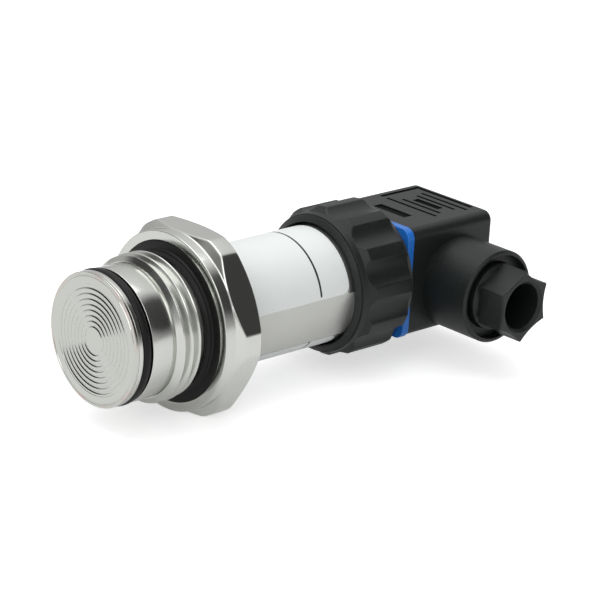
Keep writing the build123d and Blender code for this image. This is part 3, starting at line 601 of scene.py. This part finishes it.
class TRANSMITTER_OT_finishes(bpy.types.Operator):
    """Makes every material and the groups that they share"""
    bl_idname = "transmitter.finishes"
    bl_label = "Make finishes"

    def execute(self, context):
        scene = context.scene
        steel = tuple(scene.transmitter_steel.steel_colour)
        foil = tuple(scene.transmitter_steel.foil_colour)
        black = tuple(scene.transmitter_plastic.black)
        blue = tuple(scene.transmitter_plastic.blue)
        rubber = tuple(scene.transmitter_plastic.rubber)
        label = scene.transmitter_label
        turned_grooves()
        moulded_grain()
        weld_tint()
        metal("Turned steel", steel, 0.17, 0.16, 0.000005, contrast=0.08)
        metal("Milled steel", steel, 0.16, 0.50, 0.000002, contrast=0.03)
        metal("Ground steel", steel, 0.40, 0.20, 0.000003, contrast=0.06, Metallic=0.42)
        metal("Brushed steel", steel, 0.28, 0.20, 0.000004, contrast=0.12, Metallic=0.92)
        tint_edge(metal("Diaphragm foil", foil, 0.13, 0.10, 0.000001, contrast=0.03))
        metal("Header steel", (0.60, 0.59, 0.57), 0.30, 0.20, 0.000008)
        metal("Tinned contact", (0.78, 0.77, 0.72), 0.26, 0.20, 0.000006, contrast=0.06)
        metal("Brass", (0.72, 0.52, 0.24), 0.28, 0.20, 0.000008)
        metal("Gold pin", (0.90, 0.70, 0.32), 0.22, 0.20, 0.000004)
        metal("Zinc screw", (0.70, 0.70, 0.68), 0.30, 0.15, 0.000008)
        metal("Capacitor can", (0.74, 0.74, 0.75), 0.28, 0.20, 0.000006)
        plastic("Black moulding", black, 0.42, Specular_IOR_Level=0.32)
        # Painted shade: the sunk marks' floors get the black moulding darkened to three tenths
        plastic("Sunk mark", tuple(part * 0.3 for part in black), 0.7, Specular_IOR_Level=0.1)
        plastic("Nut moulding", black, 0.40, scale=2200.0, Specular_IOR_Level=0.32)
        plastic("Grey insert", (0.05, 0.052, 0.052), 0.45)
        plastic("Seal rubber", rubber, 0.42, scale=3000.0, depth=0.00001, Specular_IOR_Level=0.22)
        plastic("Blue silicone", blue, 0.34, scale=1500.0, depth=0.000015, contrast=0.08)
        plastic("Board green", (0.02, 0.16, 0.08), 0.30, scale=1800.0, contrast=0.12, Coat_Weight=0.4)
        plastic("Chip black", (0.02, 0.02, 0.021), 0.50, scale=4000.0)
        plastic("Ceramic", (0.86, 0.86, 0.83), 0.55, contrast=0.03)
        plastic("Sealing glass", (0.02, 0.05, 0.045), 0.12, contrast=0.10, Coat_Weight=0.6)
        plastic("Silicon die", (0.10, 0.11, 0.13), 0.12, contrast=0.05, Coat_Weight=0.5)
        label_film("Label film", tuple(label.film_colour), label.line_place, label.line_width, label.line_end)
        return {"FINISHED"}


class TRANSMITTER_OT_connection(bpy.types.Operator):
    """Turns the process connection: nose, pipe thread, seal groove and hexagon"""
    bl_idname = "transmitter.connection"
    bl_label = "Process connection"

    # The hexagon and its collar are milled from here on, in metres along the axis and away from it
    MILLED_FROM = 0.0226
    MILLED_RADIUS = 0.019

    def execute(self, context):
        steel = context.scene.transmitter_steel
        nose = steel.nose_radius / MM
        nose_outline = rounded([
            (0.72, 12.4), (0.72, nose, 0.12), (1.8, nose, 0.12), (1.8, 12.75, 0.2), (4.5, 12.75, 0.2),
            (4.5, nose, 0.12), (10.1, nose, 0.25), (10.1, 14.55, 0.2), (11.2, 14.55), (11.2, 14.0),
            (18.0, 14.0), (18.0, 8.2), (12.0, 8.2), (12.0, 1.0), (1.0, 1.0), (1.0, 12.4),
        ])
        thread_outline = denser(rounded([
            (10.7, 13.8), (10.7, 15.2, 0.15), (11.5, 16.66, 0.15), (16.25, 16.66, 0.15), (17.0, 15.2, 0.15),
            (17.0, 13.8),
        ]), 0.09, lambda here, after: max(here.y, after.y) > 15.0)
        neck_outline = rounded([
            (16.5, 13.0), (16.5, 14.6), (21.6, 14.6, 0.2), (21.6, 18.6), (22.4, 18.6), (22.4, 13.0),
        ])
        hexagon_outline = denser(rounded([
            (20.2, 18.19, 0.15), (20.2, 20.35, 0.25), (22.8, 20.35, 0.35), (24.0, 22.35, 0.5),
            (28.39, 22.35, 0.5), (29.56, 20.4, 0.3), (29.56, 13.9), (28.5, 12.5), (22.2, 12.5), (22.2, 18.19),
        ]), 0.14, lambda here, after: abs(here.x - after.x) > 0.02 and abs(here.y - after.y) > 0.02)
        rear_outline = rounded([
            (18.0, 8.2), (18.0, 14.0), (28.0, 14.0), (28.0, 11.55), (33.06, 11.55, 0.3), (33.06, 10.6, 0.2),
            (22.0, 10.6, 0.2), (22.0, 8.2),
        ])
        material = bpy.data.materials["Turned steel"]
        thread = shaped(turned("thread", thread_outline, 300), "thread", thread_rule(), material,
                        {"Pitch": steel.thread_pitch})
        hexagon = shaped(turned("hexagon", hexagon_outline, 468), "hexagon", hexagon_rule(), material,
                         {"Softness": steel.hex_softness})
        parts = [turned("nose", nose_outline, 256), turned("neck", neck_outline, 256),
                 turned("rear", rear_outline, 128), thread.data, hexagon.data]
        joined = join_meshes("connection_body", parts)
        bpy.data.objects.remove(thread)
        bpy.data.objects.remove(hexagon)
        made = finish_mesh(joined, "connection_body", material)
        made.data.materials.append(bpy.data.materials["Milled steel"])
        for polygon in made.data.polygons:
            centre = polygon.center
            if centre.x > self.MILLED_FROM and math.hypot(centre.y, centre.z) > self.MILLED_RADIUS:
                polygon.material_index = 1
        place(made, ROOT, "process_connection")
        return {"FINISHED"}


class TRANSMITTER_OT_diaphragm(bpy.types.Operator):
    """Presses the corrugated foil and its weld ring"""
    bl_idname = "transmitter.diaphragm"
    bl_label = "Diaphragm"

    def execute(self, context):
        foil = context.scene.transmitter_diaphragm
        edge = context.scene.transmitter_steel.nose_radius / MM
        outline = denser(rounded([
            (0.10, 0.005), (0.10, 12.4, 0.05), (0.02, 12.5, 0.05), (0.0, 14.0, 0.05), (0.13, 14.12, 0.05),
            (0.13, 14.34, 0.05), (0.02, 14.46, 0.05), (0.02, edge, 0.16),
            (0.66, edge, 0.05), (0.66, 0.005),
        ]), 0.09, lambda here, after: max(here.x, after.x) < 0.2)
        made = shaped(turned("diaphragm_foil", outline, 288), "diaphragm_foil", corrugation_rule(),
                      bpy.data.materials["Diaphragm foil"],
                      {"Grooves": float(foil.grooves), "First": foil.first, "Pitch": foil.pitch,
                       "Depth": foil.depth}, sharp=50.0)
        place(made, ROOT, "flush_diaphragm")
        return {"FINISHED"}


class TRANSMITTER_OT_seals(bpy.types.Operator):
    """Makes the O-ring of the nose and the profile seal"""
    bl_idname = "transmitter.seals"
    bl_label = "Seals"

    def execute(self, context):
        rubber = bpy.data.materials["Seal rubber"]
        centre, section_radius, sides = Vector((3.15, 13.95)), 1.25, 32
        turns = [math.tau * index / sides for index in range(sides)]
        circle = [centre + Vector((math.cos(turn), math.sin(turn))) * section_radius for turn in turns]
        made = finish_mesh(turned("nose_ring", circle, 256), "nose_ring", rubber, 60)
        place(made, ROOT, "nose_o_ring")
        outline = rounded([
            (21.55, 14.65, 0.15), (18.9, 14.65, 0.15), (18.9, 15.2, 0.2), (19.5, 15.8, 0.1),
            (19.62, 16.2, 0.12), (20.0, 16.35, 0.12), (20.15, 18.14, 0.3), (21.55, 18.14, 0.15),
        ])
        made = finish_mesh(turned("face_seal", outline, 256), "face_seal", rubber, 40)
        place(made, ROOT, "profile_seal")
        return {"FINISHED"}


class TRANSMITTER_OT_case(bpy.types.Operator):
    """Makes the case tube and the label film round it"""
    bl_idname = "transmitter.case"
    bl_label = "Case and label"

    NEAR_FLAT = math.radians(196)  # angle round the axis
    FACES_FLAT = 0.9995  # least cosine between a face's normal and the flat's
    # The case in millimetres: its radius, and its flats' distance from the axis
    TUBE, FLAT = 13.7, 12.48
    GLUE, THICKNESS = 0.01, 0.12  # of the film, in millimetres
    EDGE_GAP = 0.012  # bare strip along each edge of the near flat, in radians
    ROWS, COLUMNS = 260, 40

    def execute(self, context):
        shell = copy_of("case_tube", "case_shell", bpy.data.materials["Brushed steel"], 30)
        shell.data.materials.append(bpy.data.materials["Ground steel"])
        flat_way = Vector((0, math.cos(self.NEAR_FLAT), math.sin(self.NEAR_FLAT)))
        for polygon in shell.data.polygons:
            polygon.material_index = int(abs(polygon.normal.dot(flat_way)) > self.FACES_FLAT)
        place(shell, ROOT, "case_tube")
        place(self.film(context.scene.transmitter_label.corner / MM), ROOT, "case_label")
        return {"FINISHED"}

    def film(self, corner):
        """A thin film over the tube and its far flat, with rounded corners."""
        tube, flat = self.TUBE + self.GLUE, self.FLAT + self.GLUE
        near, far = self.NEAR_FLAT, self.NEAR_FLAT - math.pi
        reach = math.acos(self.FLAT / self.TUBE) + self.EDGE_GAP
        first, last = near + reach, near + 2 * math.pi - reach
        start, end = LABEL_START / MM, LABEL_END / MM
        rows, columns = self.ROWS, self.COLUMNS
        verts = []
        for layer in (self.THICKNESS, 0.0):
            for row in range(rows + 1):
                turn = first + (last - first) * row / rows
                off = math.cos(turn - far)
                base = min(tube, flat / off) if off > 0.5 else tube
                from_edge = min(turn - first, last - turn) * tube
                inset = 0.0
                if from_edge < corner:
                    inset = corner - math.sqrt(corner ** 2 - (corner - from_edge) ** 2)
                for column in range(columns + 1):
                    x = start + inset + (end - start - 2 * inset) * column / columns
                    r = base + layer
                    verts.append((x * MM, r * MM * math.cos(turn), r * MM * math.sin(turn)))
        width = columns + 1
        bottom = width * (rows + 1)
        faces = []
        for row in range(rows):
            for column in range(columns):
                a = row * width + column
                faces.append((a, a + 1, a + width + 1, a + width))
                faces.append((bottom + a, bottom + a + width, bottom + a + width + 1, bottom + a + 1))
        for column in range(columns):
            for row in (0, rows):
                a = row * width + column
                faces.append((a, a + 1, bottom + a + 1, bottom + a))
        for row in range(rows):
            for column in (0, columns):
                a = row * width + column
                faces.append((a, a + width, bottom + a + width, bottom + a))
        mesh = plain_mesh("label_film", verts, faces)
        return finish_mesh(mesh, "label_film", bpy.data.materials["Label film"], 40)


class TRANSMITTER_OT_union_nut(bpy.types.Operator):
    """Makes the lobed union nut"""
    bl_idname = "transmitter.union_nut"
    bl_label = "Union nut"

    LOBE_RISE = 0.2  # of the lobes above the CAD nut, in millimetres

    def execute(self, context):
        front, rear, outer = NUT_FRONT / MM, NUT_REAR / MM, NUT_RADIUS / MM + self.LOBE_RISE
        outline = denser(rounded([
            (front + 1.9, 14.0), (front, 14.5, 0.15), (front + 0.1, 14.9, 0.1), (front + 0.8, 15.9, 0.1),
            (front + 1.1, 15.9, 0.05), (front + 1.1, 16.25, 0.1), (front + 2.5, 16.5, 0.1),
            (front + 3.9, outer, 0.12), (rear, outer, 0.5), (rear, 12.9),
            (rear - 3.9, 12.9), (rear - 3.9, 13.3), (front + 3.5, 13.3), (front + 3.5, 14.0),
        ]), 0.5)
        made = shaped(turned("nut_shell", outline, 540), "nut_shell", scallop_rule(),
                      bpy.data.materials["Nut moulding"], {}, 40)
        place(made, NUT_BODY, "union_nut")
        return {"FINISHED"}


class TRANSMITTER_OT_plug(bpy.types.Operator):
    """Dresses the plug housing, its sunk marks and the gasket"""
    bl_idname = "transmitter.plug"
    bl_label = "Plug"

    # Place from the plug's front, place across, length and width, in millimetres
    MARKS = (
        (6.15, 0.2, 2.7, 10.4), (18.1, 9.8, 12.8, 1.1), (23.9, 0.4, 1.1, 17.5), (11.9, -0.25, 0.85, 16.5),
        (14.4, -1.0, 0.85, 12.6), (16.8, -0.8, 1.9, 8.4), (19.2, -1.0, 0.85, 12.6), (21.5, -1.55, 0.85, 15.1),
    )
    MARK_DEPTH = 0.45
    MARK_FLOOR = (0.0002, 0.0006)  # depths between which a flat face is a mark's floor, in metres

    def execute(self, context):
        made = copy_of("plug_housing", "plug_shell", bpy.data.materials["Black moulding"], 30)
        self.sink_marks(made)
        soften(made, 0.00015)
        place(made, PLUG_BODY, "plug_housing")
        blue = bpy.data.materials["Blue silicone"]
        place(copy_of("base_gasket", "gasket_sheet", blue, 30, 0.0002), CONNECTOR, "base_gasket")
        return {"FINISHED"}

    def sink_marks(self, made):
        """Cuts the marks into the top of the housing, and paints shade on their floors with a darker
        material.
        """
        front, top = low("plug_housing")[0], high("plug_housing")[2]
        work = bmesh.new()
        for along, across, length, width in self.MARKS:
            where = Matrix.Translation((front + along * MM, across * MM, top))
            size = Matrix.Diagonal((length * MM, width * MM, 2 * self.MARK_DEPTH * MM, 1))
            bmesh.ops.create_cube(work, size=1.0, matrix=where @ size)
        mesh = bpy.data.meshes.new("marks")
        work.to_mesh(mesh)
        work.free()
        cutter = linked("marks", mesh)
        modifier = made.modifiers.new("Marks", "BOOLEAN")
        modifier.object = cutter
        modifier.solver = "EXACT"
        modifier.use_self = True
        result = applied(made, modifier)
        bpy.data.objects.remove(cutter)
        made.data = result
        result.set_sharp_from_angle(angle=math.radians(30))
        result.materials.clear()
        result.materials.append(bpy.data.materials["Black moulding"])
        result.materials.append(bpy.data.materials["Sunk mark"])
        # Painted shade goes on the flat floors of the sunk marks, picked out by their depth below the top
        least, most = self.MARK_FLOOR
        for polygon in result.polygons:
            polygon.material_index = int(polygon.normal.z > 0.9 and least < top - polygon.center.z < most)


class TRANSMITTER_OT_cable_nut(bpy.types.Operator):
    """Makes the star-headed cable nut"""
    bl_idname = "transmitter.cable_nut"
    bl_label = "Cable nut"

    HEAD_RISE = 0.7  # of the head beyond the CAD nut, in millimetres

    def execute(self, context):
        near, far = low("gland_nut"), high("gland_nut")
        front, rear = near[1] / MM - self.HEAD_RISE, far[1] / MM
        bore, shank, tip, head = 5.5, 7.98, 8.85, 7.0
        head_outline = denser(rounded([
            (front, bore + 0.7), (front, tip, 0.15), (front + head, tip, 0.2), (front + head, bore),
            (front + 0.7, bore),
        ]), 0.25)
        shank_outline = rounded([
            (front + head - 0.5, bore), (front + head - 0.5, 6.8), (front + head, 6.9),
            (front + head + 0.8, 6.9), (front + head + 1.4, shank, 0.2), (rear, shank, 0.3), (rear, bore),
        ])
        material = bpy.data.materials["Black moulding"]
        star = shaped(turned("star", head_outline, 360), "star", scallop_rule(), material,
                      {"Lobes": 6.0, "Turn": 0.0, "Valley Radius": 0.01756, "Valley Centre": 0.02451,
                       "Softness": 0.00012, "Front": front * MM, "Edge": 0.0003})
        joined = join_meshes("cable_nut_shell", [star.data, turned("shank", shank_outline, 128)])
        bpy.data.objects.remove(star)
        middle = ((near[0] + far[0]) / 2, 0, (near[2] + far[2]) / 2)
        joined.transform(Matrix.Translation(middle) @ Matrix.Rotation(math.radians(90), 4, "Z"))
        made = finish_mesh(joined, "cable_nut_shell", material, 30)
        place(made, CABLE_NUT_BODY, "gland_nut")
        return {"FINISHED"}


class TRANSMITTER_OT_inner(bpy.types.Operator):
    """Gives the CAD nodes that stay their finishes"""
    bl_idname = "transmitter.inner"
    bl_label = "Inner pieces"

    FINISHES = {
        "sensor_header": "Header steel", "fill_ball": "Header steel", "header_ring": "Header steel",
        "sensor_chip": "Silicon die", "ceramic_spacer": "Ceramic", "glass_seals": "Sealing glass",
        "header_pins": "Gold pin", "adapter_board": "Board green", "circuit_board": "Board green",
        "board_chips": "Chip black", "board_capacitors": "Capacitor can", "board_holder": "Grey insert",
        "connector_base": "Grey insert", "base_seal": "Seal rubber", "clamp_ring": "Black moulding",
        "contact_blades": "Tinned contact", "earth_blade": "Tinned contact", "screw_bush": "Brass",
        "terminal_insert": "Grey insert", "terminal_clips": "Tinned contact",
        "terminal_screws": "Zinc screw", "fixing_screw": "Zinc screw", "screw_seal": "Seal rubber",
        "gland_seal": "Seal rubber", "gland_washer": "Grey insert",
    }

    def execute(self, context):
        for name, finish in self.FINISHES.items():
            mesh = NODES[name].data
            mesh.materials.clear()
            mesh.materials.append(bpy.data.materials[finish])
        return {"FINISHED"}


class TRANSMITTER_OT_stage(bpy.types.Operator):
    """Sets up the floor, the soft light and the camera"""
    bl_idname = "transmitter.stage"
    bl_label = "Stage"

    # Dark places of the studio: direction, half-angle that is wholly dark, half-angle where the dark ends
    DARK = (
        ((0.62, -0.59, 0.52), 20, 33),
        ((-0.94, 0.27, 0.15), 13, 23),
        ((-0.73, 0.63, 0.25), 14, 22),
    )
    DARK_SHARE = 0.08  # light that is left in them
    SKY_LOW, SKY_HIGH = 0.45, 0.95  # brightness near the horizon and overhead
    # Name, place, width in metres and power in watts of each soft box
    BOXES = (("top_box", (0.0, 0.10, 0.75), 0.7, 2.4), ("left_box", (-0.60, -0.35, 0.45), 0.5, 1.4))
    LAMP_AIM = (0.05, 0, 0)
    FLOOR_REACH = 6.0
    FLOOR_TONE = 0.72
    FLOOR_LIFT_SEEN, FLOOR_LIFT_MIRRORED = 0.58, 0.25  # glow of the floor, direct and in reflections

    def execute(self, context):
        scene = context.scene
        settings = scene.transmitter_stage
        scene.view_settings.view_transform = "Standard"
        self.floor()
        self.world(scene, settings)
        self.lamps(settings)
        self.camera(scene, settings)
        return {"FINISHED"}

    def floor(self):
        """A wide pale floor that shows white to the camera."""
        corners = [(x * self.FLOOR_REACH, y * self.FLOOR_REACH, FLOOR_LEVEL)
                   for x, y in ((-1, -1), (1, -1), (1, 1), (-1, 1))]
        mesh = plain_mesh("floor", corners, [(0, 1, 2, 3)])
        made = linked("floor", mesh)
        material, tree, shader = bare_material("Pale floor")
        shader.inputs["Base Color"].default_value = (self.FLOOR_TONE, self.FLOOR_TONE, self.FLOOR_TONE, 1)
        shader.inputs["Roughness"].default_value = 0.9
        ray = node(tree, "ShaderNodeLightPath").outputs
        lift = calc(tree, "ADD", calc(tree, "MULTIPLY", ray["Is Camera Ray"], self.FLOOR_LIFT_SEEN),
                    calc(tree, "MULTIPLY", ray["Is Glossy Ray"], self.FLOOR_LIFT_MIRRORED))
        shader.inputs["Emission Color"].default_value = (1, 1, 1, 1)
        tree.links.new(lift, shader.inputs["Emission Strength"])
        mesh.materials.append(material)

    def world(self, scene, settings):
        """White to the camera, and a soft studio to everything else."""
        world = bpy.data.worlds.new("Studio")
        world.use_nodes = True
        scene.world = world
        tree = world.node_tree
        ground = tree.nodes["Background"]
        ground.inputs["Color"].default_value = (1, 1, 1, 1)
        way = node(tree, "ShaderNodeTexCoord").outputs["Generated"]
        height = node(tree, "ShaderNodeSeparateXYZ", {"Vector": way}).outputs[2]
        studio = spread(tree, height, -0.1, 0.8, self.SKY_LOW * settings.light,
                        self.SKY_HIGH * settings.light)
        for direction, whole, edge in self.DARK:
            aim = Vector(direction).normalized()
            towards = node(tree, "ShaderNodeVectorMath", {0: way, 1: aim}, operation="DOT_PRODUCT")
            whole_cos, edge_cos = math.cos(math.radians(whole)), math.cos(math.radians(edge))
            share = spread(tree, towards.outputs["Value"], edge_cos, whole_cos, 1.0, self.DARK_SHARE)
            studio = calc(tree, "MULTIPLY", studio, share)
        seen = node(tree, "ShaderNodeLightPath").outputs["Is Camera Ray"]
        white = calc(tree, "MULTIPLY", seen, calc(tree, "SUBTRACT", 1.0, studio))
        tree.links.new(calc(tree, "ADD", studio, white), ground.inputs["Strength"])

    def lamps(self, settings):
        """Soft boxes: one large above, and one from the camera's left."""
        for name, place_at, size, power in self.BOXES:
            lamp = bpy.data.lights.new(name, "AREA")
            lamp.shape = "SQUARE"
            lamp.size = size
            lamp.energy = power * settings.light
            made = linked(name, lamp)
            made.location = place_at
            aim = Vector(self.LAMP_AIM) - Vector(place_at)
            made.rotation_euler = aim.to_track_quat("-Z", "Y").to_euler()

    def camera(self, scene, settings):
        """The photo's camera: azimuth, elevation and roll about the line of sight."""
        az, el, roll = settings.azimuth, settings.elevation, settings.roll
        back = Vector((math.sin(az) * math.cos(el), -math.cos(az) * math.cos(el), math.sin(el)))
        right = Vector((math.cos(az), math.sin(az), 0))
        up = back.cross(right)
        turned_right = right * math.cos(roll) + up * math.sin(roll)
        turned_up = up * math.cos(roll) - right * math.sin(roll)
        lens = bpy.data.cameras.new("photo_camera")
        lens.lens = settings.lens
        lens.sensor_width = 36.0
        lens.sensor_fit = "HORIZONTAL"
        lens.clip_start = 0.01
        lens.clip_end = 50.0
        made = linked("photo_camera", lens)
        matrix = Matrix((turned_right, turned_up, back)).transposed().to_4x4()
        matrix.translation = Vector(settings.place)
        made.matrix_world = matrix
        scene.camera = made


class TRANSMITTER_PT_panel(bpy.types.Panel):
    """Lists the steps in the sidebar"""
    bl_idname = "TRANSMITTER_PT_panel"
    bl_label = "Pressure Transmitter"
    bl_space_type = "VIEW_3D"
    bl_region_type = "UI"
    bl_category = "Transmitter"

    def draw(self, context):
        for group in GROUPS:
            settings = getattr(context.scene, group)
            box = self.layout.box()
            for name in settings.__annotations__:
                box.prop(settings, name)
        for step in STEPS:
            self.layout.operator(step.bl_idname)


GROUPS = {
    "transmitter_steel": TransmitterSteel,
    "transmitter_diaphragm": TransmitterDiaphragm,
    "transmitter_label": TransmitterLabel,
    "transmitter_plastic": TransmitterPlastic,
    "transmitter_stage": TransmitterStage,
}
STEPS = (
    TRANSMITTER_OT_finishes, TRANSMITTER_OT_connection, TRANSMITTER_OT_diaphragm, TRANSMITTER_OT_seals,
    TRANSMITTER_OT_case, TRANSMITTER_OT_union_nut, TRANSMITTER_OT_plug, TRANSMITTER_OT_cable_nut,
    TRANSMITTER_OT_inner, TRANSMITTER_OT_stage,
)


def register():
    for name, group in GROUPS.items():
        bpy.utils.register_class(group)
        setattr(bpy.types.Scene, name, bpy.props.PointerProperty(type=group))
    for step in STEPS:
        bpy.utils.register_class(step)
    bpy.utils.register_class(TRANSMITTER_PT_panel)


def unregister():
    bpy.utils.unregister_class(TRANSMITTER_PT_panel)
    for step in reversed(STEPS):
        bpy.utils.unregister_class(step)
    for name, group in reversed(GROUPS.items()):
        delattr(bpy.types.Scene, name)
        bpy.utils.unregister_class(group)


def main():
    register()
    for step in STEPS:
        family, action = step.bl_idname.split(".")
        getattr(getattr(bpy.ops, family), action)()


if __name__ == "__main__":
    main()
